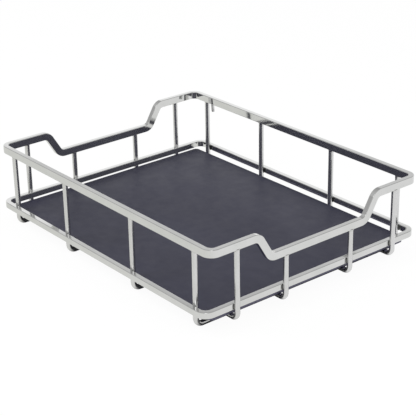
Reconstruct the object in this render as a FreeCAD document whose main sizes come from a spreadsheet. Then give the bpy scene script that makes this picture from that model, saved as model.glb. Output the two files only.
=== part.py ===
"""Wire basket of a blind corner organizer: two flat bar rims, eight round wires, a base board.

X runs along the basket, Y across it and Z up. The origin is on the surface that the
basket stands on, under its middle. All sizes are in millimetres, angles in degrees.
"""
import FreeCAD, Part
import Sketcher
import math
import os

# Driving sizes

SIZES = {
    # upper rim, a closed loop of flat bar on edge
    "rim_length": 450.0,
    "rim_width": 342.0,
    "bar_thickness": 7.0,
    "upper_bar_height": 10.3,
    "upper_corner_radius": 14.0,
    "bar_edge_round": 1.2,
    # dip in each short side of the upper rim
    "dip_depth": 31.2,
    "dip_from_side": 83.5,
    "dip_slope": 59.0,
    "dip_bend_radius": 7.0,
    # lower rim, a closed loop of the same bar, less high
    "lower_bar_height": 8.4,
    "lower_corner_radius": 15.0,
    # round wires
    "wire_diameter": 7.0,
    "cross_bend_radius": 9.0,
    "long_bend_radius": 8.0,
    "cross_post_from_end": 32.0,
    "cross_inner_spacing": 142.2,
    "long_post_from_side": 41.5,
    "long_post_from_dip": 33.9,
    "long_post_offset": 1.0,
    # heights between the pieces
    "rim_over_board": 1.2,
    "post_clear_height": 68.8,
    # welds
    "side_post_sink": 0.5,
    "end_post_sink": 1.5,
    "crossing_sink": 0.3,
    "post_weld_leg": 1.6,
    "rim_weld_leg": 0.9,
    # base board
    "board_thickness": 7.0,
    "board_rest_gap": 0.1,
    "board_end_clearance": 0.4,
    "board_side_clearance": 1.0,
    "board_corner_radius": 6.0,
    "board_edge_round": 0.5,
    "board_turn": 0.25,
    # stub that leans down from the rear bar
    "stub_diameter": 5.0,
    "stub_drop": 12.0,
    "stub_from_post": 12.5,
    "stub_lean": 8.0,
    "stub_end_bevel": 0.6,
}

doc = FreeCAD.newDocument("blind_corner_basket")
sheet = doc.addObject("Spreadsheet::Sheet", "sizes")
for row, (alias, value) in enumerate(SIZES.items(), start=1):
    sheet.set("A%d" % row, alias)
    sheet.set("B%d" % row, str(value))
    sheet.setAlias("B%d" % row, alias)
doc.recompute()

# Places that follow from the driving sizes, as expressions on the sheet

HALF_X = "(sizes.rim_length / 2)"
HALF_Y = "(sizes.rim_width / 2)"
WIRE_R = "(sizes.wire_diameter / 2)"
BAR_X = "(%s - sizes.bar_thickness / 2)" % HALF_X
POST_X = "(%s + sizes.long_post_offset)" % BAR_X
POST_Y = "(%s - sizes.bar_thickness / 2)" % HALF_Y

CROSS_OUTER = "(%s - sizes.cross_post_from_end)" % HALF_X
CROSS_INNER = "(sizes.cross_inner_spacing / 2)"
DIP_MIDDLE = "(%s - sizes.dip_from_side)" % HALF_Y
LONG_OUTER = "(%s - sizes.long_post_from_side)" % HALF_Y
LONG_INNER = "(%s - sizes.long_post_from_dip)" % DIP_MIDDLE

CROSS_Z = WIRE_R
LONG_Z = "(%s + sizes.wire_diameter - sizes.crossing_sink)" % CROSS_Z
BOARD_Z = "(%s + %s + sizes.board_rest_gap)" % (LONG_Z, WIRE_R)
LOWER_Z = "(%s + sizes.board_thickness + sizes.rim_over_board)" % BOARD_Z
UPPER_Z = "(%s + sizes.lower_bar_height + sizes.post_clear_height)" % LOWER_Z
DIP_Z = "(%s - sizes.dip_depth)" % UPPER_Z

# The end wires pass outside the lower rim and the side wires inside it
SIDE_SEAT = "(%s - sizes.side_post_sink)" % WIRE_R
END_SEAT = "(%s - sizes.end_post_sink)" % WIRE_R
LOWER_HALF_X = "(%s - %s)" % (POST_X, END_SEAT)
LOWER_INNER_X = "(%s - sizes.bar_thickness)" % LOWER_HALF_X
LOWER_INNER_Y = "(%s + %s)" % (POST_Y, SIDE_SEAT)
LOWER_HALF_Y = "(%s + sizes.bar_thickness)" % LOWER_INNER_Y

# A fillet along the bar leaves at least a fifth of its thickness flat
BAR_ROUND = "min(sizes.bar_edge_round; sizes.bar_thickness * 0.4)"
BAR_FLAT = "(sizes.bar_thickness - 2 * %s)" % BAR_ROUND

CROSS_POSTS = ["-" + CROSS_OUTER, "-" + CROSS_INNER, CROSS_INNER, CROSS_OUTER]
LONG_POSTS = ["-" + LONG_OUTER, "-" + LONG_INNER, LONG_INNER, LONG_OUTER]
LONG_POST_TOPS = [UPPER_Z, DIP_Z, DIP_Z, UPPER_Z]


def worth(expression):
    """The number that an expression on the sheet stands for now."""
    return float(sheet.evalExpression(expression))


# Bodies and sketches

def new_body(label):
    body = doc.addObject("PartDesign::Body", label)
    body.Label = label
    body.AllowCompound = True
    return body


def new_sketch(body, name, role, offset="0"):
    """A sketch on one of the body's own origin planes, moved along the plane's normal."""
    plane = [feature for feature in body.Origin.OriginFeatures if feature.Role == role][0]
    sketch = body.newObject("Sketcher::SketchObject", body.Label + "_" + name)
    sketch.AttachmentSupport = [(plane, "")]
    sketch.MapMode = "FlatFace"
    sketch.setExpression("AttachmentOffset.Base.z", offset)
    return sketch


def bind(sketch, constraint, expression):
    index = sketch.addConstraint(constraint)
    sketch.setExpression("Constraints[%d]" % index, expression)


def pin(sketch, geometry, point, u, v):
    """Holds a point of the sketch at the place that two expressions give."""
    origin = (-1, 1)
    bind(sketch, Sketcher.Constraint("DistanceX", *origin, geometry, point, worth(u)), u)
    bind(sketch, Sketcher.Constraint("DistanceY", *origin, geometry, point, worth(v)), v)


def draw_circle(sketch, u, v, radius):
    centre = FreeCAD.Vector(worth(u), worth(v), 0)
    circle = Part.Circle(centre, FreeCAD.Vector(0, 0, 1), worth(radius))
    index = sketch.addGeometry(circle, False)
    pin(sketch, index, 3, u, v)
    bind(sketch, Sketcher.Constraint("Radius", index, worth(radius)), radius)


def draw_line(sketch, corners, closed=True):
    """Straight runs through corners of (u, v, bend radius), where None is a sharp corner."""
    start, end = 1, 2
    count = len(corners)
    points = [FreeCAD.Vector(worth(u), worth(v), 0) for u, v, bend in corners]
    arrivals = list(points)
    departures = list(points)
    arcs = {}
    for i, (u, v, bend) in enumerate(corners):
        if bend is None:
            continue
        before = (points[i - 1] - points[i]).normalize()
        after = (points[(i + 1) % count] - points[i]).normalize()
        reach = worth(bend) / math.tan(before.getAngle(after) / 2)
        arrivals[i] = points[i] + before * reach
        departures[i] = points[i] + after * reach
        middle = (before + after).normalize()
        centre = points[i] + middle * math.hypot(reach, worth(bend))
        turns_left = before.cross(after).z < 0
        first, last = (arrivals[i], departures[i]) if turns_left else (departures[i], arrivals[i])
        angles = [math.atan2(p.y - centre.y, p.x - centre.x) for p in (first, last)]
        if angles[1] < angles[0]:
            angles[1] += 2 * math.pi
        circle = Part.Circle(centre, FreeCAD.Vector(0, 0, 1), worth(bend))
        arcs[i] = (sketch.addGeometry(Part.ArcOfCircle(circle, *angles), False), turns_left)
    runs = {}
    for i in range(count if closed else count - 1):
        following = (i + 1) % count
        run = Part.LineSegment(departures[i], arrivals[following])
        runs[i] = sketch.addGeometry(run, False)
    for i, (u, v, bend) in enumerate(corners):
        arriving = runs.get((i - 1) % count)
        leaving = runs.get(i)
        if bend is None:
            if leaving is None:
                pin(sketch, arriving, end, u, v)
                continue
            pin(sketch, leaving, start, u, v)
            if arriving is not None:
                sketch.addConstraint(Sketcher.Constraint("Coincident", arriving, end, leaving, start))
            continue
        arc, turns_left = arcs[i]
        near, far = (start, end) if turns_left else (end, start)
        sketch.addConstraint(Sketcher.Constraint("Tangent", arriving, end, arc, near))
        sketch.addConstraint(Sketcher.Constraint("Tangent", arc, far, leaving, start))
        bind(sketch, Sketcher.Constraint("Radius", arc, worth(bend)), bend)
        corner = sketch.addGeometry(Part.Point(points[i]), True)
        pin(sketch, corner, start, u, v)
        sketch.addConstraint(Sketcher.Constraint("PointOnObject", corner, start, arriving))
        sketch.addConstraint(Sketcher.Constraint("PointOnObject", corner, start, leaving))


def draw_loop(sketch, half_u, half_v, radius):
    """A rectangle about the sketch's origin, with round corners."""
    minus_u, minus_v = "-" + half_u, "-" + half_v
    draw_line(sketch, [(minus_u, minus_v, radius), (half_u, minus_v, radius),
                       (half_u, half_v, radius), (minus_u, half_v, radius)])


# Features

def pad(body, sketch, length, symmetric=False):
    feature = body.newObject("PartDesign::Pad", sketch.Name + "_pad")
    feature.Profile = sketch
    feature.SideType = "Symmetric" if symmetric else "One side"
    feature.setExpression("Length", length)
    doc.recompute()
    return feature


def pocket_through(body, sketch):
    """Cuts the sketch's loops out of the whole body, both ways."""
    before = body.Shape.Volume
    feature = body.newObject("PartDesign::Pocket", sketch.Name + "_pocket")
    feature.Profile = sketch
    feature.SideType = "Symmetric"
    feature.Type = "ThroughAll"
    doc.recompute()
    if body.Shape.Volume >= before:
        raise RuntimeError(sketch.Name + " cuts nothing")
    return feature


def round_edges(body, base, radius, chosen):
    feature = body.newObject("PartDesign::Fillet", body.Label + "_round")
    feature.Base = (base, chosen)
    feature.setExpression("Radius", radius)
    doc.recompute()
    return feature


def normal_at(face, point):
    return face.normalAt(*face.Surface.parameter(point))


def sharp_edges(shape):
    """Names of the edges where two faces meet at a corner, not smoothly."""
    least_angle = math.radians(20)
    names = []
    for number, edge in enumerate(shape.Edges, start=1):
        faces = shape.ancestorsOfType(edge, Part.Face)
        if len(faces) != 2:
            continue
        middle = edge.valueAt((edge.FirstParameter + edge.LastParameter) / 2)
        if normal_at(faces[0], middle).getAngle(normal_at(faces[1], middle)) > least_angle:
            names.append("Edge%d" % number)
    return names


def upright_edges(shape):
    """Names of the straight edges that run along Z."""
    names = []
    for number, edge in enumerate(shape.Edges, start=1):
        way = edge.tangentAt(edge.FirstParameter)
        if isinstance(edge.Curve, Part.Line) and abs(way.z) > 0.999:
            names.append("Edge%d" % number)
    return names


# Upper rim

def make_upper_rim():
    """The bar's side view drawn whole, padded along X, then opened to a loop."""
    body = new_body("upper_rim")
    reach = "(sizes.dip_depth / 2 / tan(sizes.dip_slope * 1 deg))"
    shift = "(sizes.upper_bar_height / 2 * tan(sizes.dip_slope * 0.5 deg))"
    tight = "sizes.dip_bend_radius"
    wide = "(sizes.dip_bend_radius + sizes.upper_bar_height)"
    under_high = "(%s + %s + %s)" % (DIP_MIDDLE, reach, shift)
    under_low = "(%s - %s + %s)" % (DIP_MIDDLE, reach, shift)
    over_high = "(%s + %s - %s)" % (DIP_MIDDLE, reach, shift)
    over_low = "(%s - %s - %s)" % (DIP_MIDDLE, reach, shift)
    upper_top = "(%s + sizes.upper_bar_height)" % UPPER_Z
    dip_top = "(%s + sizes.upper_bar_height)" % DIP_Z
    underside = [(under_low, DIP_Z, wide), (under_high, UPPER_Z, tight), (HALF_Y, UPPER_Z, None)]
    topside = [(HALF_Y, upper_top, None), (over_high, upper_top, wide), (over_low, dip_top, tight)]
    right_half = underside + topside
    left_half = [("-" + y, z, bend) for y, z, bend in reversed(right_half)]
    side_view = new_sketch(body, "side_view", "YZ_Plane")
    draw_line(side_view, right_half + left_half)
    bar = pad(body, side_view, "sizes.rim_length", symmetric=True)
    corners = round_edges(body, bar, "sizes.upper_corner_radius", upright_edges(bar.Shape))
    inside = new_sketch(body, "inside", "XY_Plane")
    draw_loop(inside, "(%s - sizes.bar_thickness)" % HALF_X, "(%s - sizes.bar_thickness)" % HALF_Y,
              "(sizes.upper_corner_radius - sizes.bar_thickness)")
    loop = pocket_through(body, inside)
    round_edges(body, loop, BAR_ROUND, sharp_edges(loop.Shape))
    return body


# Lower rim

def make_lower_rim():
    """A plain loop, grooved where the wires are welded to it."""
    body = new_body("lower_rim")
    outline = new_sketch(body, "outline", "XY_Plane", LOWER_Z)
    draw_loop(outline, LOWER_HALF_X, LOWER_HALF_Y, "sizes.lower_corner_radius")
    draw_loop(outline, LOWER_INNER_X, LOWER_INNER_Y,
              "(sizes.lower_corner_radius - sizes.bar_thickness)")
    loop = pad(body, outline, "sizes.lower_bar_height")
    round_edges(body, loop, BAR_ROUND, sharp_edges(loop.Shape))
    grooves = new_sketch(body, "grooves", "XY_Plane")
    for side in ("", "-"):
        for x in CROSS_POSTS:
            draw_circle(grooves, x, side + POST_Y, WIRE_R)
        for y in LONG_POSTS:
            draw_circle(grooves, side + POST_X, y, WIRE_R)
    pocket_through(body, grooves)
    return body


# Wires, each bent to a wide U whose ends stand under the upper rim

def make_wire(label, plane, half_span, run_z, top_z, bend):
    body = new_body(label)
    route = new_sketch(body, "route", plane)
    draw_line(route, [("-" + half_span, top_z, None), ("-" + half_span, run_z, bend),
                      (half_span, run_z, bend), (half_span, top_z, None)], closed=False)
    section = new_sketch(body, "section", "XY_Plane", top_z)
    start = (("-" + half_span, "0") if plane == "XZ_Plane" else ("0", "-" + half_span))
    draw_circle(section, *start, WIRE_R)
    pipe = body.newObject("PartDesign::AdditivePipe", label + "_pipe")
    pipe.Profile = section
    pipe.Spine = route
    doc.recompute()
    return body


def make_cross_wires():
    """Four wires across the basket, the lowest pieces, which it stands on."""
    bodies = []
    for number, x in enumerate(CROSS_POSTS, start=1):
        body = make_wire("cross_wire_%d" % number, "YZ_Plane", POST_Y, CROSS_Z, UPPER_Z,
                         "sizes.cross_bend_radius")
        body.setExpression("Placement.Base.x", x)
        bodies.append(body)
    return bodies


def make_long_wires():
    """Four wires along the basket, set down on the cross wires at each crossing."""
    bodies = []
    for number, (y, top_z) in enumerate(zip(LONG_POSTS, LONG_POST_TOPS), start=1):
        body = make_wire("long_wire_%d" % number, "XZ_Plane", POST_X, LONG_Z, top_z,
                         "sizes.long_bend_radius")
        crossings = new_sketch(body, "crossings", "XZ_Plane")
        for x in CROSS_POSTS:
            draw_circle(crossings, x, CROSS_Z, WIRE_R)
        pocket_through(body, crossings)
        body.setExpression("Placement.Base.y", y)
        bodies.append(body)
    return bodies


# Base board

def make_base_board():
    """It lies loose on the long wires, a little turned, and lifts out between the rims' bars."""
    body = new_body("base_board")
    turned = "sin(sizes.board_turn * 1 deg)"
    half_y = "(%s - %s - sizes.board_side_clearance - (%s + %s) * %s)" % (
        POST_Y, WIRE_R, CROSS_OUTER, WIRE_R, turned)
    inside_rim = "(%s - %s * %s)" % (LOWER_INNER_X, half_y, turned)
    inside_bends = "(%s - sizes.long_bend_radius - (%s + %s) * %s)" % (
        POST_X, LONG_OUTER, WIRE_R, turned)
    half_x = "(min(%s; %s) - sizes.board_end_clearance)" % (inside_rim, inside_bends)
    outline = new_sketch(body, "outline", "XY_Plane", BOARD_Z)
    draw_loop(outline, half_x, half_y, "sizes.board_corner_radius")
    board = pad(body, outline, "sizes.board_thickness")
    round_edges(body, board, "sizes.board_edge_round", sharp_edges(board.Shape))
    body.setExpression("Placement.Rotation.Angle", "sizes.board_turn * 1 deg")
    return body


# Stub that hangs under the rear bar beside a post

def make_hanging_stub():
    """A short pin whose foot leans away from the post."""
    body = new_body("hanging_stub")
    top_x = "(sizes.stub_from_post - %s)" % CROSS_OUTER
    outline = new_sketch(body, "outline", "XY_Plane", UPPER_Z)
    draw_circle(outline, top_x, POST_Y, "(sizes.stub_diameter / 2)")
    stub = pad(body, outline, "sizes.stub_drop")
    stub.UseCustomVector = True
    stub.AlongSketchNormal = True
    stub.setExpression("Direction.x", "sin(sizes.stub_lean * 1 deg)")
    stub.setExpression("Direction.y", "0")
    stub.setExpression("Direction.z", "-cos(sizes.stub_lean * 1 deg)")
    doc.recompute()
    low_edge = min(enumerate(stub.Shape.Edges, start=1), key=lambda item: item[1].BoundBox.ZMax)[0]
    bevel = body.newObject("PartDesign::Chamfer", "hanging_stub_bevel")
    bevel.Base = (stub, ["Edge%d" % low_edge])
    bevel.setExpression("Size", "sizes.stub_end_bevel")
    doc.recompute()
    return body


# Welds, drawn for a bar that runs along X on the front side, then turned to their side

def turn_to_side(body, quarter_turns):
    body.Placement = FreeCAD.Placement(
        FreeCAD.Vector(), FreeCAD.Rotation(FreeCAD.Vector(0, 0, 1), 90 * quarter_turns))


def cut_posts(body, posts, distance):
    wires = new_sketch(body, "wires", "XY_Plane")
    for along in posts:
        draw_circle(wires, along, "-" + distance, WIRE_R)
    pocket_through(body, wires)


def make_upper_welds(label, quarter_turns, posts, tops, distance, bar_distance):
    """Two wedges under the bar at each wire's end, as wide as the bar's flat underside."""
    body = new_body(label)
    wedges = new_sketch(body, "wedges", "XZ_Plane", bar_distance)
    for along, top in zip(posts, tops):
        low = "(%s - 2 * sizes.post_weld_leg)" % top
        wide = "(%s + sizes.post_weld_leg)" % WIRE_R
        narrow = "(%s - sizes.post_weld_leg)" % WIRE_R
        draw_line(wedges, [("(%s - %s)" % (along, wide), top, None),
                           ("(%s - %s)" % (along, narrow), low, None),
                           ("(%s + %s)" % (along, narrow), low, None),
                           ("(%s + %s)" % (along, wide), top, None)])
    pad(body, wedges, BAR_FLAT, symmetric=True)
    cut_posts(body, posts, distance)
    turn_to_side(body, quarter_turns)
    return body


def make_lower_welds(label, quarter_turns, posts, distance, seat):
    """Two upright fillets at each wire, in the corners between it and the bar's face."""
    body = new_body(label)
    fillets = new_sketch(body, "fillets", "XY_Plane", "(%s + %s)" % (LOWER_Z, BAR_ROUND))
    face = "-(%s + %s)" % (distance, seat)
    axis = "-" + distance
    for along in posts:
        wide = "(%s + sizes.rim_weld_leg)" % WIRE_R
        narrow = "(%s - sizes.rim_weld_leg)" % WIRE_R
        draw_line(fillets, [("(%s - %s)" % (along, wide), face, None),
                            ("(%s - %s)" % (along, narrow), axis, None),
                            ("(%s + %s)" % (along, narrow), axis, None),
                            ("(%s + %s)" % (along, wide), face, None)])
    pad(body, fillets, "(sizes.lower_bar_height - 2 * %s)" % BAR_ROUND)
    cut_posts(body, posts, distance)
    turn_to_side(body, quarter_turns)
    return body


def make_welds():
    bodies = []
    for side, quarter_turns in (("front", 0), ("right", 1), ("rear", 2), ("left", 3)):
        at_end = side in ("right", "left")
        posts = LONG_POSTS if at_end else CROSS_POSTS
        tops = LONG_POST_TOPS if at_end else [UPPER_Z] * len(CROSS_POSTS)
        distance = POST_X if at_end else POST_Y
        bar_distance = BAR_X if at_end else POST_Y
        seat = "-" + END_SEAT if at_end else SIDE_SEAT
        bodies.append(make_upper_welds("upper_welds_" + side, quarter_turns, posts, tops, distance,
                                       bar_distance))
        bodies.append(make_lower_welds("lower_welds_" + side, quarter_turns, posts, distance, seat))
    return bodies


# The whole basket

pieces = [make_upper_rim(), make_lower_rim()]
pieces += make_cross_wires()
pieces += make_long_wires()
pieces += [make_base_board(), make_hanging_stub()]
pieces += make_welds()
doc.recompute()

for item in doc.Objects:
    if "Invalid" in item.State or "Error" in item.State:
        raise RuntimeError("%s is %s" % (item.Label, item.State))
for piece in pieces:
    if piece.Shape.isNull() or not piece.Shape.isValid():
        raise RuntimeError(piece.Label + " has no sound shape")

os.makedirs("parts", exist_ok=True)
for piece in pieces:
    piece.Shape.exportStep("parts/%s.step" % piece.Label)
    print("%-20s %2d solids %10.1f mm3" % (piece.Label, len(piece.Shape.Solids), piece.Shape.Volume))
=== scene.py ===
import math

import bpy
from mathutils import Matrix, Vector


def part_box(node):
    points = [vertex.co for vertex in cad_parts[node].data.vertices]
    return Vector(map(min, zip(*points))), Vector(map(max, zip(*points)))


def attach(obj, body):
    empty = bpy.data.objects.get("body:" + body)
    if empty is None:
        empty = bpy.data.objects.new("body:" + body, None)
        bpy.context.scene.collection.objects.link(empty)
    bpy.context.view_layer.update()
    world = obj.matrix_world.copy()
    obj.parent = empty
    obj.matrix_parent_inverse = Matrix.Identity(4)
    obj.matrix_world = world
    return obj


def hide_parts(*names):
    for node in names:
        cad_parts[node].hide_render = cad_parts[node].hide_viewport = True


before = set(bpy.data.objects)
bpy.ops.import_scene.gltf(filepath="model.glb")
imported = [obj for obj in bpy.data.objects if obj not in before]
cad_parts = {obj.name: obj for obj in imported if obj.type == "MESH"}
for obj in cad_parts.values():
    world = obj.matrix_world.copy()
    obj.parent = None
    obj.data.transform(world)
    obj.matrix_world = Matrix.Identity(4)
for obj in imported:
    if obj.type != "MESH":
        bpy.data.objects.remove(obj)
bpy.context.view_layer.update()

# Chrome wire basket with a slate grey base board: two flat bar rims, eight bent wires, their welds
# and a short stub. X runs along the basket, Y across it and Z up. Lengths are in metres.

MM = 0.001
Z_AXIS = Vector((0, 0, 1))
WHITE = (1, 1, 1, 1)

# Sizes that the frame's boxes don't give

BAR_THICKNESS = 7 * MM
BAR_EDGE_ROUND = 0.8 * MM
UPPER_CORNER_RADIUS = 14 * MM
LOWER_CORNER_RADIUS = 15 * MM
DIP_FROM_SIDE = 83.5 * MM
DIP_SLOPE = math.radians(59)
DIP_BEND_RADIUS = 7 * MM
WIRE_RADIUS = 3.5 * MM
CROSS_BEND_RADIUS = 9 * MM
LONG_BEND_RADIUS = 8 * MM
SIDE_WIRE_SUNK = 0.5 * MM
END_WIRE_SUNK = 1.5 * MM
SKIRT_LEG = 1.6 * MM
BOARD_TURN = math.radians(0.25)
BOARD_CORNER_RADIUS = 6 * MM
BOARD_EDGE_ROUND = 0.5 * MM
STUB_RADIUS = 2.5 * MM
STUB_LEAN = math.radians(8)
MERGE_DISTANCE = 0.01 * MM

# Places read from the frame

upper_low, upper_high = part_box("upper_rim")
lower_low, lower_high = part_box("lower_rim")
post_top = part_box("cross_wire_1")[1].z
UPPER_BAR_HEIGHT = upper_high.z - post_top
LOWER_BAR_HEIGHT = lower_high.z - lower_low.z
LOWER_BAR_MIDDLE = (lower_low.z + lower_high.z) / 2
DIP_DEPTH = post_top - upper_low.z
BAR_X = upper_high.x - BAR_THICKNESS / 2
POST_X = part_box("long_wire_1")[1].x - WIRE_RADIUS
POST_Y = upper_high.y - BAR_THICKNESS / 2
CROSS_WIRES = ["cross_wire_1", "cross_wire_2", "cross_wire_3", "cross_wire_4"]
LONG_WIRES = ["long_wire_1", "long_wire_2", "long_wire_3", "long_wire_4"]
SIDES = ["front", "right", "rear", "left"]


def middle_of(node):
    low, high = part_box(node)
    return (low + high) / 2


# Working in edit mode

def name_new_piece(name):
    """Names the primitive just added, and puts its place into its mesh."""
    piece = bpy.context.object
    piece.name = name
    piece.data.name = name
    bpy.ops.object.transform_apply(location=True, rotation=True, scale=True)
    return piece


def open_bar_section(name, place, height):
    """The outline of a flat bar on edge, seen along X, with round edges and no face."""
    bpy.ops.object.select_all(action="DESELECT")
    bpy.ops.mesh.primitive_plane_add(size=1, location=place, rotation=(0, math.radians(90), 0))
    piece = name_new_piece(name)
    bpy.ops.object.mode_set(mode="EDIT")
    bpy.ops.mesh.select_all(action="SELECT")
    bpy.ops.transform.resize(value=(1, BAR_THICKNESS, height), center_override=place)
    bpy.ops.mesh.bevel(offset=BAR_EDGE_ROUND, segments=5, affect="VERTICES")
    bpy.ops.mesh.select_all(action="SELECT")
    bpy.ops.mesh.delete(type="ONLY_FACE")
    bpy.ops.mesh.select_all(action="SELECT")
    return piece


def open_round_section(name, place, radius, sides=32):
    """The outline of a round wire, seen along Z."""
    bpy.ops.object.select_all(action="DESELECT")
    bpy.ops.mesh.primitive_circle_add(vertices=sides, radius=radius, location=place)
    piece = name_new_piece(name)
    bpy.ops.object.mode_set(mode="EDIT")
    bpy.ops.mesh.select_all(action="SELECT")
    return piece


def run_straight(step):
    """Draws the open end of the section out by a straight step."""
    bpy.ops.mesh.extrude_region_move(TRANSFORM_OT_translate={"value": step})


def bend_round(centre, axis, angle):
    """Turns the open end of the section round a bend's centre. A spin counts clockwise."""
    degrees_per_step = 5
    fewest_steps = 4
    steps = max(fewest_steps, round(math.degrees(angle) / degrees_per_step))
    bpy.ops.mesh.spin(steps=steps, angle=-angle, center=centre, axis=axis)


def follow(start, corners, end):
    """Draws the open end along straight runs and through bends of (corner, radius)."""
    here = start
    aims = [corner for corner, radius in corners[1:]] + [end]
    for (corner, radius), aim in zip(corners, aims):
        before = (corner - here).normalized()
        after = (aim - corner).normalized()
        turn = before.angle(after)
        reach = radius * math.tan(turn / 2)
        bend_start = corner - before * reach
        axis = before.cross(after).normalized()
        run_straight(bend_start - here)
        bend_round(bend_start + axis.cross(before) * radius, axis, turn)
        here = corner + after * reach
    run_straight(end - here)


def fill_open_ends():
    """Fills the open end that is selected, and then the one that is left."""
    bpy.ops.mesh.edge_face_add()
    bpy.ops.mesh.select_mode(type="EDGE")
    bpy.ops.mesh.select_all(action="DESELECT")
    bpy.ops.mesh.select_non_manifold()
    bpy.ops.mesh.edge_face_add()
    bpy.ops.mesh.select_mode(type="VERT")


def finish_mesh(piece, smooth_angle=40):
    """Merges doubles, points the faces outwards and gives flat faces their true normals."""
    bpy.ops.mesh.select_all(action="SELECT")
    bpy.ops.mesh.remove_doubles(threshold=MERGE_DISTANCE)
    bpy.ops.mesh.normals_make_consistent(inside=False)
    bpy.ops.object.mode_set(mode="OBJECT")
    bpy.ops.object.shade_smooth_by_angle(angle=math.radians(smooth_angle))
    weighted = piece.modifiers.new("flat_faces", "WEIGHTED_NORMAL")
    weighted.weight = 100
    weighted.keep_sharp = True
    bpy.ops.object.modifier_apply(modifier=weighted.name)


def copy_piece(piece, name, placing):
    """A copy with a mesh of its own, put in its place by a matrix."""
    copy = piece.copy()
    copy.data = piece.data.copy()
    copy.name = name
    copy.data.name = name
    bpy.context.scene.collection.objects.link(copy)
    copy.data.transform(placing)
    return copy


def join_pieces(pieces, name):
    """Joins pieces into the first of them, under a new name."""
    bpy.ops.object.select_all(action="DESELECT")
    for piece in pieces:
        piece.select_set(True)
    bpy.context.view_layer.objects.active = pieces[0]
    bpy.ops.object.join()
    pieces[0].name = name
    pieces[0].data.name = name
    return pieces[0]


# Rims

def make_upper_rim():
    """One bar bent round the basket, lowered in the middle of both short sides."""
    high = (post_top + upper_high.z) / 2
    low = high - DIP_DEPTH
    corner_radius = UPPER_CORNER_RADIUS - BAR_THICKNESS / 2
    dip_radius = DIP_BEND_RADIUS + UPPER_BAR_HEIGHT / 2
    dip_middle = upper_high.y - DIP_FROM_SIDE
    reach = DIP_DEPTH / 2 / math.tan(DIP_SLOPE)
    right_side = [(Vector((BAR_X, -POST_Y, high)), corner_radius),
                  (Vector((BAR_X, -dip_middle - reach, high)), dip_radius),
                  (Vector((BAR_X, -dip_middle + reach, low)), dip_radius),
                  (Vector((BAR_X, dip_middle - reach, low)), dip_radius),
                  (Vector((BAR_X, dip_middle + reach, high)), dip_radius),
                  (Vector((BAR_X, POST_Y, high)), corner_radius)]
    half_turn = Matrix.Rotation(math.radians(180), 3, Z_AXIS)
    left_side = [(half_turn @ corner, radius) for corner, radius in right_side]
    start = Vector((0, -POST_Y, high))
    piece = open_bar_section("upper_rim_bar", start, UPPER_BAR_HEIGHT)
    follow(start, right_side + left_side, start)
    finish_mesh(piece)
    return piece


def make_lower_rim():
    """One bar bent to a plain loop."""
    x = lower_high.x - BAR_THICKNESS / 2
    y = lower_high.y - BAR_THICKNESS / 2
    radius = LOWER_CORNER_RADIUS - BAR_THICKNESS / 2
    corners = [(Vector((corner_x, corner_y, LOWER_BAR_MIDDLE)), radius)
               for corner_x, corner_y in ((x, -y), (x, y), (-x, y), (-x, -y))]
    start = Vector((0, -y, LOWER_BAR_MIDDLE))
    piece = open_bar_section("lower_rim_bar", start, LOWER_BAR_HEIGHT)
    follow(start, corners, start)
    finish_mesh(piece)
    return piece


# Wires

def make_wire(name, first_top, last_top, run_z, bend_radius):
    """A wire bent to a wide U between two post tops."""
    first_foot = Vector((first_top.x, first_top.y, run_z))
    last_foot = Vector((last_top.x, last_top.y, run_z))
    piece = open_round_section(name, first_top, WIRE_RADIUS)
    follow(first_top, [(first_foot, bend_radius), (last_foot, bend_radius)], last_top)
    fill_open_ends()
    finish_mesh(piece)
    return piece


def make_cross_wires():
    """Four wires across the basket, the first one bent and the others copied from it."""
    first_x = middle_of(CROSS_WIRES[0]).x
    first_top = Vector((first_x, -POST_Y, post_top))
    last_top = Vector((first_x, POST_Y, post_top))
    run_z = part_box(CROSS_WIRES[0])[0].z + WIRE_RADIUS
    pieces = [make_wire("cross_wire_bent_1", first_top, last_top, run_z, CROSS_BEND_RADIUS)]
    for number, node in enumerate(CROSS_WIRES[1:], start=2):
        placing = Matrix.Translation((middle_of(node).x - first_x, 0, 0))
        pieces.append(copy_piece(pieces[0], "cross_wire_bent_%d" % number, placing))
    return pieces


def make_long_wires():
    """Four wires along the basket: a tall pair outside and a short pair under the dips."""
    name = "long_wire_bent_%d"
    pieces = {}
    for number, twin in ((1, 4), (2, 3)):
        node = LONG_WIRES[number - 1]
        low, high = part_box(node)
        y = middle_of(node).y
        twin_y = middle_of(LONG_WIRES[twin - 1]).y
        first_top = Vector((-POST_X, y, high.z))
        last_top = Vector((POST_X, y, high.z))
        run_z = low.z + WIRE_RADIUS
        pieces[number] = make_wire(name % number, first_top, last_top, run_z, LONG_BEND_RADIUS)
        placing = Matrix.Translation((0, twin_y - y, 0))
        pieces[twin] = copy_piece(pieces[number], name % twin, placing)
    return [pieces[number] for number in sorted(pieces)]


# Welds

def stack_rings(name, rings, sides):
    """A closed lump about Z, from rings of (height, half width along X, half width along Y)."""
    height, half_x, half_y = rings[0]
    piece = open_round_section(name, (0, 0, height), half_x, sides)
    bpy.ops.transform.resize(value=(1, half_y / half_x, 1), center_override=(0, 0, height))
    for next_height, next_x, next_y in rings[1:]:
        run_straight((0, 0, next_height - height))
        bpy.ops.transform.resize(value=(next_x / half_x, next_y / half_y, 1),
                                 center_override=(0, 0, next_height))
        height, half_x, half_y = next_height, next_x, next_y
    fill_open_ends()
    return piece


def roughen(seed, amount):
    """A seeded uneven surface, as a bead has."""
    bpy.ops.mesh.select_all(action="SELECT")
    bpy.ops.transform.vertex_random(offset=amount, uniform=0.3, normal=0.7, seed=seed)


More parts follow.
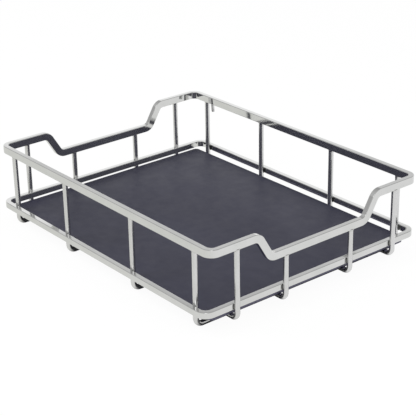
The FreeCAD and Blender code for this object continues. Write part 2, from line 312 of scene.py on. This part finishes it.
def make_skirt():
    """The fillet round a post's top: it flares along the bar and fills the bar's round edges."""
    steps = 6
    height = SKIRT_LEG * 1.3
    over_wire = 0.02 * MM
    narrowing = 0.08 * MM
    rings = []
    for step in range(steps + 1):
        share = step / steps
        flare = SKIRT_LEG * (1 - math.sqrt(1 - share ** 2))
        rings.append((height * (share - 1), WIRE_RADIUS + over_wire + flare,
                      WIRE_RADIUS - narrowing * share))
    sunk_in_bar, less_x, less_y = 0.9 * MM, 0.4 * MM, 0.05 * MM
    rings.append((sunk_in_bar, rings[-1][1] - less_x, rings[-1][2] - less_y))
    piece = stack_rings("skirt", rings, sides=24)
    roughen(seed=4, amount=0.06 * MM)
    finish_mesh(piece, smooth_angle=60)
    return piece


def make_bead():
    """A long drop-shaped bead in the corner between a post and the lower rim."""
    steps = 8
    short_of_edge = 0.3 * MM
    half_height = LOWER_BAR_HEIGHT / 2 - short_of_edge
    half_along, half_across = 1.15 * MM, 1.0 * MM
    cut_off_share = 0.06
    roundness = 0.6
    rings = []
    for step in range(steps + 1):
        angle = math.pi * (cut_off_share + (1 - 2 * cut_off_share) * step / steps)
        bulge = math.sin(angle) ** roundness
        rings.append((-half_height * math.cos(angle), half_along * bulge, half_across * bulge))
    piece = stack_rings("bead", rings, sides=14)
    roughen(seed=7, amount=0.07 * MM)
    finish_mesh(piece, smooth_angle=60)
    return piece


def posts_of(side):
    """The posts of a side as (place along its bar, height of the post's top)."""
    if side in ("front", "rear"):
        return [(middle_of(node).x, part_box(node)[1].z) for node in CROSS_WIRES]
    return [(middle_of(node).y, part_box(node)[1].z) for node in LONG_WIRES]


def make_welds():
    """Skirts and beads for the four sides, each side's copied, joined and turned to its place."""
    skirt = make_skirt()
    bead = make_bead()
    bead_from_post = WIRE_RADIUS - 0.25 * MM
    bead_from_bar = 0.9 * MM
    made = []
    for quarter, side in enumerate(SIDES):
        turn = Matrix.Rotation(math.radians(90) * quarter, 4, Z_AXIS)
        # A side is laid out as the front is and then turned, so rear and left run the other way
        flip = -1 if side in ("rear", "left") else 1
        if side in ("front", "rear"):
            post_out = POST_Y
            bar_face = POST_Y + WIRE_RADIUS - SIDE_WIRE_SUNK
            bead_out = bar_face - bead_from_bar
        else:
            post_out = POST_X
            bar_face = POST_X - WIRE_RADIUS + END_WIRE_SUNK
            bead_out = bar_face + bead_from_bar
        skirts, beads = [], []
        for along, top in posts_of(side):
            place = along * flip
            placing = turn @ Matrix.Translation((place, -post_out, top))
            skirts.append(copy_piece(skirt, "skirt_copy", placing))
            for bead_place in (place - bead_from_post, place + bead_from_post):
                placing = turn @ Matrix.Translation((bead_place, -bead_out, LOWER_BAR_MIDDLE))
                beads.append(copy_piece(bead, "bead_copy", placing))
        made.append((join_pieces(skirts, "post_skirts_" + side), "upper_welds_" + side))
        made.append((join_pieces(beads, "rim_beads_" + side), "lower_welds_" + side))
    for pattern in (skirt, bead):
        bpy.data.objects.remove(pattern)
    return made


# Stub and board

def make_stub():
    """The short pin under the rear bar, with a rounded foot that leans away from the post."""
    low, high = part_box("hanging_stub")
    length = high.z - low.z
    into_bar = 0.6 * MM
    round_end = 0.8 * MM
    degrees_per_ring = 30
    rings = [(into_bar, STUB_RADIUS, STUB_RADIUS), (round_end - length, STUB_RADIUS, STUB_RADIUS)]
    for ring in (1, 2, 3):
        angle = math.radians(degrees_per_ring * ring)
        radius = STUB_RADIUS - round_end * (1 - math.cos(angle))
        rings.append((round_end * (1 - math.sin(angle)) - length, radius, radius))
    piece = stack_rings("hanging_pin", rings, sides=24)
    finish_mesh(piece)
    top = Vector((low.x + STUB_RADIUS, middle_of("hanging_stub").y, high.z))
    lean = Matrix.Rotation(-STUB_LEAN, 4, "Y")
    piece.data.transform(Matrix.Translation(top) @ lean)
    return piece


def make_board():
    """A thin board with round corners and softened edges, lying a little turned."""
    low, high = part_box("base_board")
    centre = (low + high) / 2
    reach = (high - low) / 2
    # The frame gives the turned board's box, and from it comes half of each side of the board
    cosine, sine = math.cos(BOARD_TURN), math.sin(BOARD_TURN)
    far_x = reach.x - BOARD_CORNER_RADIUS
    far_y = reach.y - BOARD_CORNER_RADIUS
    spread = cosine ** 2 - sine ** 2
    half_x = (far_x * cosine - far_y * sine) / spread + BOARD_CORNER_RADIUS
    half_y = (far_y * cosine - far_x * sine) / spread + BOARD_CORNER_RADIUS
    foot = (centre.x, centre.y, low.z)
    bpy.ops.object.select_all(action="DESELECT")
    bpy.ops.mesh.primitive_plane_add(size=2, location=foot)
    piece = name_new_piece("slate_board")
    bpy.ops.object.mode_set(mode="EDIT")
    bpy.ops.mesh.select_all(action="SELECT")
    bpy.ops.transform.resize(value=(half_x, half_y, 1), center_override=foot)
    bpy.ops.mesh.bevel(offset=BOARD_CORNER_RADIUS, segments=10, affect="VERTICES")
    bpy.ops.mesh.select_all(action="SELECT")
    bpy.ops.mesh.extrude_region_move(TRANSFORM_OT_translate={"value": (0, 0, high.z - low.z)})
    bpy.ops.mesh.select_all(action="SELECT")
    bpy.ops.mesh.normals_make_consistent(inside=False)
    bpy.ops.object.mode_set(mode="OBJECT")
    piece.data.transform(Matrix.Translation(centre) @ Matrix.Rotation(BOARD_TURN, 4, Z_AXIS)
                         @ Matrix.Translation(-centre))
    bevel = piece.modifiers.new("soft_edges", "BEVEL")
    bevel.width = BOARD_EDGE_ROUND
    bevel.segments = 4
    bevel.limit_method = "ANGLE"
    bevel.angle_limit = math.radians(60)
    bpy.ops.object.modifier_apply(modifier=bevel.name)
    bpy.ops.object.mode_set(mode="EDIT")
    finish_mesh(piece)
    return piece


# Nodes

def grey(level):
    return (level, level, level, 1)


def feed(tree, value, socket):
    """Links another node's output to a socket, or sets the socket to a plain value."""
    if isinstance(value, bpy.types.NodeSocket):
        tree.links.new(value, socket)
    else:
        socket.default_value = value


def add_math(tree, operation, *values):
    node = tree.nodes.new("ShaderNodeMath")
    node.operation = operation
    for value, socket in zip(values, node.inputs):
        feed(tree, value, socket)
    return node.outputs["Value"]


def add_range(tree, value, before, after=(0, 1), soft=False):
    """Carries a value over from one range of numbers to another."""
    node = tree.nodes.new("ShaderNodeMapRange")
    node.interpolation_type = "SMOOTHSTEP" if soft else "LINEAR"
    for name, number in zip(("From Min", "From Max", "To Min", "To Max"), (*before, *after)):
        node.inputs[name].default_value = number
    tree.links.new(value, node.inputs["Value"])
    return node.outputs["Result"]


def reach_towards(tree, place, direction):
    """How far a place lies in a direction, or how close a way comes to it."""
    node = tree.nodes.new("ShaderNodeVectorMath")
    node.operation = "DOT_PRODUCT"
    node.inputs[1].default_value = direction
    tree.links.new(place, node.inputs[0])
    return node.outputs["Value"]


def split_axes(tree, place):
    node = tree.nodes.new("ShaderNodeSeparateXYZ")
    tree.links.new(place, node.inputs["Vector"])
    return node.outputs


def mix_colours(tree, share, first, second):
    """The first colour where the share is 0, and the second where it is 1."""
    node = tree.nodes.new("ShaderNodeMix")
    node.data_type = "RGBA"
    tree.links.new(share, node.inputs["Factor"])
    feed(tree, first, node.inputs["A"])
    feed(tree, second, node.inputs["B"])
    return node.outputs["Result"]


def mix_shaders(tree, share, first, second):
    """The first shader where the share is 0, and the second where it is 1."""
    node = tree.nodes.new("ShaderNodeMixShader")
    tree.links.new(share, node.inputs["Fac"])
    tree.links.new(first, node.inputs[1])
    tree.links.new(second, node.inputs[2])
    return node.outputs["Shader"]


def add_glow(tree, colour, strength=1.0):
    node = tree.nodes.new("ShaderNodeEmission")
    feed(tree, colour, node.inputs["Color"])
    node.inputs["Strength"].default_value = strength
    return node.outputs["Emission"]


def add_noise(tree, place, scale, detail):
    node = tree.nodes.new("ShaderNodeTexNoise")
    node.inputs["Scale"].default_value = scale
    node.inputs["Detail"].default_value = detail
    tree.links.new(place, node.inputs["Vector"])
    return node.outputs["Fac"]


def spread_colours(tree, noise, dark, light):
    """Spreads two colours over the range in which a noise mostly lies."""
    node = tree.nodes.new("ShaderNodeValToRGB")
    first, last = node.color_ramp.elements
    first.position, first.color = 0.35, (*dark, 1)
    last.position, last.color = 0.65, (*light, 1)
    tree.links.new(noise, node.inputs["Fac"])
    return node.outputs["Color"]


def spread_roughness(tree, shader, noise, roughness):
    """Spreads a range of roughness over the one in which a noise mostly lies."""
    tree.links.new(add_range(tree, noise, (0.3, 0.7), roughness), shader.inputs["Roughness"])


def add_bump(tree, shader, height, strength, distance):
    node = tree.nodes.new("ShaderNodeBump")
    node.inputs["Strength"].default_value = strength
    node.inputs["Distance"].default_value = distance
    tree.links.new(height, node.inputs["Height"])
    tree.links.new(node.outputs["Normal"], shader.inputs["Normal"])


# Finishes

def new_finish(name):
    """A material, its Principled shader and the coordinates that its patterns read."""
    material = bpy.data.materials.new(name)
    material.use_nodes = True
    nodes = material.node_tree.nodes
    return material, nodes["Principled BSDF"], nodes.new("ShaderNodeTexCoord").outputs


def make_chrome(name, dark, light, roughness, ripple):
    """Bright plating: a slow drift of tone, faint rub marks in the gloss and a slight ripple."""
    material, shader, coordinates = new_finish(name)
    tree, place = material.node_tree, coordinates["Object"]
    shader.inputs["Metallic"].default_value = 1.0
    drift = add_noise(tree, place, scale=35, detail=3)
    tree.links.new(spread_colours(tree, drift, dark, light), shader.inputs["Base Color"])
    rubbed = add_noise(tree, place, scale=260, detail=4)
    spread_roughness(tree, shader, rubbed, roughness)
    rippled = add_noise(tree, place, scale=420, detail=2)
    add_bump(tree, shader, rippled, strength=ripple, distance=0.05 * MM)
    return material


def make_board_finish():
    """Slate grey sheet with edges painted paler, as painted light from the floor below: a slow drift
    of tone, fine pebbles and a satin gloss.
    """
    material, shader, coordinates = new_finish("slate_sheet")
    tree, place = material.node_tree, coordinates["Object"]
    drift = add_noise(tree, place, scale=9, detail=3)
    face = spread_colours(tree, drift, dark=(0.0142, 0.0142, 0.0330), light=(0.0190, 0.0190, 0.0398))
    grain = add_noise(tree, place, scale=120, detail=3)
    # The upright edges get a far paler colour than the top and bottom: painted light for what they
    # catch from the floor
    edge = spread_colours(tree, grain, dark=(0.085, 0.082, 0.13), light=(0.105, 0.10, 0.155))
    flatness = add_math(tree, "ABSOLUTE", split_axes(tree, coordinates["Normal"])["Z"])
    tree.links.new(mix_colours(tree, flatness, edge, face), shader.inputs["Base Color"])
    shader.inputs["IOR"].default_value = 1.38
    gloss = add_noise(tree, place, scale=70, detail=4)
    spread_roughness(tree, shader, gloss, (0.40, 0.48))
    pebbles = add_noise(tree, place, scale=1400, detail=2)
    add_bump(tree, shader, pebbles, strength=0.25, distance=0.06 * MM)
    return material


def put_on(piece, material):
    piece.data.materials.clear()
    piece.data.materials.append(material)


# Studio

def new_stage_material(name):
    """A material without a shader, its surface socket and the object coordinates."""
    material = bpy.data.materials.new(name)
    material.use_nodes = True
    nodes = material.node_tree.nodes
    nodes.clear()
    surface = nodes.new("ShaderNodeOutputMaterial").inputs["Surface"]
    place = nodes.new("ShaderNodeTexCoord").outputs["Object"]
    return material, surface, place


def painted_shadow_under_board(tree, place):
    """How far a spot on the floor lies in the painted shadow under the board, from 0 to 1."""
    past_edge, short_of_edge = 9 * MM, 4 * MM
    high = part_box("base_board")[1]
    axes = split_axes(tree, place)
    shares = []
    for axis, half in (("X", high.x), ("Y", high.y)):
        away = add_math(tree, "ABSOLUTE", axes[axis])
        shares.append(add_range(tree, away, (half + past_edge, half - short_of_edge), soft=True))
    return add_math(tree, "MULTIPLY", *shares)


def make_floor():
    """A pale floor: white to the eye, nearly so in the chrome, where a painted light falloff dims it
    toward the front left, and dark there under the board as a painted shadow.
    """
    size = 14
    rear_right = (0.7, 0.7, 0)
    middle_band = (-0.25, 0.25)
    painted_dim_front_left_colour, painted_bright_rear_right_colour = (0.84, 0.845, 0.81, 1), grey(0.96)
    painted_shadow_colour = (0.02, 0.02, 0.025, 1)
    glow_share = 0.95
    bpy.ops.object.select_all(action="DESELECT")
    bpy.ops.mesh.primitive_plane_add(size=size, location=(0, 0, 0))
    floor = name_new_piece("studio_floor")
    material, surface, place = new_stage_material("pale_floor")
    tree = material.node_tree
    # Painted light falloff: in the chrome the floor is dimmer and tinted toward the front left, and
    # paler toward the rear right
    share = add_range(tree, reach_towards(tree, place, rear_right), middle_band)
    lit = mix_colours(tree, share, painted_dim_front_left_colour, painted_bright_rear_right_colour)
    # Under the board the mirrored floor is darkened: a painted shadow that the chrome reflects
    mirrored = mix_colours(tree, painted_shadow_under_board(tree, place), lit, painted_shadow_colour)
    paths = tree.nodes.new("ShaderNodeLightPath").outputs
    glow = add_glow(tree, mix_colours(tree, paths["Is Camera Ray"], mirrored, WHITE))
    # A little of the floor stays paint, so that it takes the basket's shadow
    paint = tree.nodes.new("ShaderNodeBsdfDiffuse")
    paint.inputs["Color"].default_value = grey(0.9)
    seen = add_math(tree, "MAXIMUM", paths["Is Camera Ray"], paths["Is Glossy Ray"])
    seen = add_math(tree, "MAXIMUM", seen, paths["Is Transmission Ray"])
    share = add_math(tree, "MULTIPLY", seen, glow_share)
    tree.links.new(mix_shaders(tree, share, paint.outputs["BSDF"], glow), surface)
    put_on(floor, material)


def make_world():
    """White to the eye and an even grey to dull surfaces. Gloss sees a room: a sweep that is palest
    at the rear, walls above it that are palest in front, and a bright box."""
    across = (-0.4, 0.4)
    wall_greys, sweep_greys = (0.65, 0.45), (0.5, 0.76)
    sweep_edge = (0.44, 0.52)
    box_way = Vector((0.66, -0.53, 0.57)).normalized()
    box_edge = (math.cos(math.radians(13)), math.cos(math.radians(10)))
    box_grey, even_grey = grey(3.0), grey(0.75)
    world = bpy.data.worlds.new("studio")
    bpy.context.scene.world = world
    world.use_nodes = True
    tree = world.node_tree
    tree.nodes.clear()
    output = tree.nodes.new("ShaderNodeOutputWorld")
    way = tree.nodes.new("ShaderNodeTexCoord").outputs["Generated"]
    axes = split_axes(tree, way)
    walls = add_range(tree, axes["Y"], across, wall_greys)
    sweep = add_range(tree, axes["Y"], across, sweep_greys)
    in_sweep = add_range(tree, axes["Z"], sweep_edge, (1, 0))
    in_box = add_range(tree, reach_towards(tree, way, box_way), box_edge, soft=True)
    room = mix_colours(tree, in_box, mix_colours(tree, in_sweep, walls, sweep), box_grey)
    paths = tree.nodes.new("ShaderNodeLightPath").outputs
    colour = mix_colours(tree, paths["Is Camera Ray"], room, WHITE)
    colour = mix_colours(tree, paths["Is Diffuse Ray"], colour, even_grey)
    background = tree.nodes.new("ShaderNodeBackground")
    tree.links.new(colour, background.inputs["Color"])
    tree.links.new(background.outputs["Background"], output.inputs["Surface"])


def make_card():
    """A low white card behind the basket, seen by gloss alone, with a soft upper edge."""
    away = Vector((-0.777, 0.629, 0))
    distance, width, height = 0.6, 3.2, 0.38
    soft_edge = (0.35, 0.30)
    place = away * distance + Vector((0, 0, height / 2))
    turn = away.to_track_quat("Z", "Y").to_euler()
    bpy.ops.object.select_all(action="DESELECT")
    bpy.ops.mesh.primitive_plane_add(size=1, location=place, rotation=turn)
    bpy.ops.transform.resize(value=(width, width, height), center_override=place)
    card = name_new_piece("white_card")
    material, surface, place = new_stage_material("card_glow")
    tree = material.node_tree
    below_edge = add_range(tree, split_axes(tree, place)["Z"], soft_edge)
    clear = tree.nodes.new("ShaderNodeBsdfTransparent").outputs["BSDF"]
    glow = add_glow(tree, WHITE, strength=1.1)
    tree.links.new(mix_shaders(tree, below_edge, clear, glow), surface)
    put_on(card, material)
    card.visible_camera = False
    card.visible_diffuse = False
    card.visible_shadow = False
    card.visible_transmission = False


def add_lamp(name, place, size, power):
    """A square lamp that points at the basket and isn't seen in its gloss."""
    bpy.ops.object.select_all(action="DESELECT")
    bpy.ops.object.light_add(type="AREA", location=place)
    lamp = bpy.context.object
    lamp.name = name
    lamp.data.size = size
    lamp.data.energy = power
    lamp.visible_glossy = False
    lamp.rotation_euler = (-Vector(place)).to_track_quat("-Z", "Y").to_euler()


def make_camera():
    """The photograph's view, found from the basket's own edges."""
    azimuth, elevation, roll = math.radians(51.07), math.radians(23.92), math.radians(-1.08)
    aim = Vector((7.9, 3.1, 40.5)) * MM
    distance = 1720.3 * MM
    frame_pixels, focal_pixels, sensor = 416, 1293.8, 36
    forward = Vector((-math.sin(azimuth) * math.cos(elevation),
                      math.cos(azimuth) * math.cos(elevation), -math.sin(elevation)))
    level_right = forward.cross(Z_AXIS).normalized()
    level_up = level_right.cross(forward)
    right = math.cos(roll) * level_right + math.sin(roll) * level_up
    up = math.cos(roll) * level_up - math.sin(roll) * level_right
    data = bpy.data.cameras.new("photo_camera")
    data.sensor_width = sensor
    data.lens = focal_pixels / frame_pixels * sensor
    data.clip_end = 100
    camera = bpy.data.objects.new("photo_camera", data)
    bpy.context.scene.collection.objects.link(camera)
    turn = Matrix((right, up, -forward)).transposed().to_4x4()
    camera.matrix_world = Matrix.Translation(aim - forward * distance) @ turn
    bpy.context.scene.camera = camera


# The basket

def place_piece(piece, body, node, material):
    """Gives a piece its finish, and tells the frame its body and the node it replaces."""
    put_on(piece, material)
    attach(piece, body)
    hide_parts(node)


bar_chrome = make_chrome("bar_chrome", dark=(0.64, 0.645, 0.635), light=(0.68, 0.68, 0.675),
                         roughness=(0.04, 0.08), ripple=0.02)
wire_chrome = make_chrome("wire_chrome", dark=(0.65, 0.65, 0.645), light=(0.69, 0.69, 0.69),
                          roughness=(0.22, 0.24), ripple=0.015)
weld_chrome = make_chrome("weld_chrome", dark=(0.56, 0.56, 0.55), light=(0.64, 0.64, 0.63),
                          roughness=(0.08, 0.2), ripple=0.3)
# The lower beads' chrome is painted dark, as painted shade in the groove between post and rim
painted_shade_bead_chrome = make_chrome("painted_shade_bead_chrome", dark=(0.10, 0.10, 0.10), light=(0.22, 0.22, 0.21),
                          roughness=(0.10, 0.22), ripple=0.3)
board_finish = make_board_finish()

place_piece(make_upper_rim(), "basket", "upper_rim", bar_chrome)
place_piece(make_lower_rim(), "basket", "lower_rim", bar_chrome)
for wire, node in zip(make_cross_wires(), CROSS_WIRES):
    place_piece(wire, "basket", node, wire_chrome)
for wire, node in zip(make_long_wires(), LONG_WIRES):
    place_piece(wire, "basket", node, wire_chrome)
for welds, node in make_welds():
    # The lower welds take the chrome with painted shade
    finish = weld_chrome if node.startswith("upper") else painted_shade_bead_chrome
    place_piece(welds, "basket", node, finish)
place_piece(make_stub(), "basket", "hanging_stub", wire_chrome)
place_piece(make_board(), "board", "base_board", board_finish)

make_floor()
make_card()
make_world()
add_lamp("key_lamp", place=(-0.9, -1.4, 1.9), size=1.2, power=28)
add_lamp("fill_lamp", place=(1.6, 0.6, 1.6), size=1.4, power=14)
make_camera()
bpy.context.scene.view_settings.view_transform = "Standard"
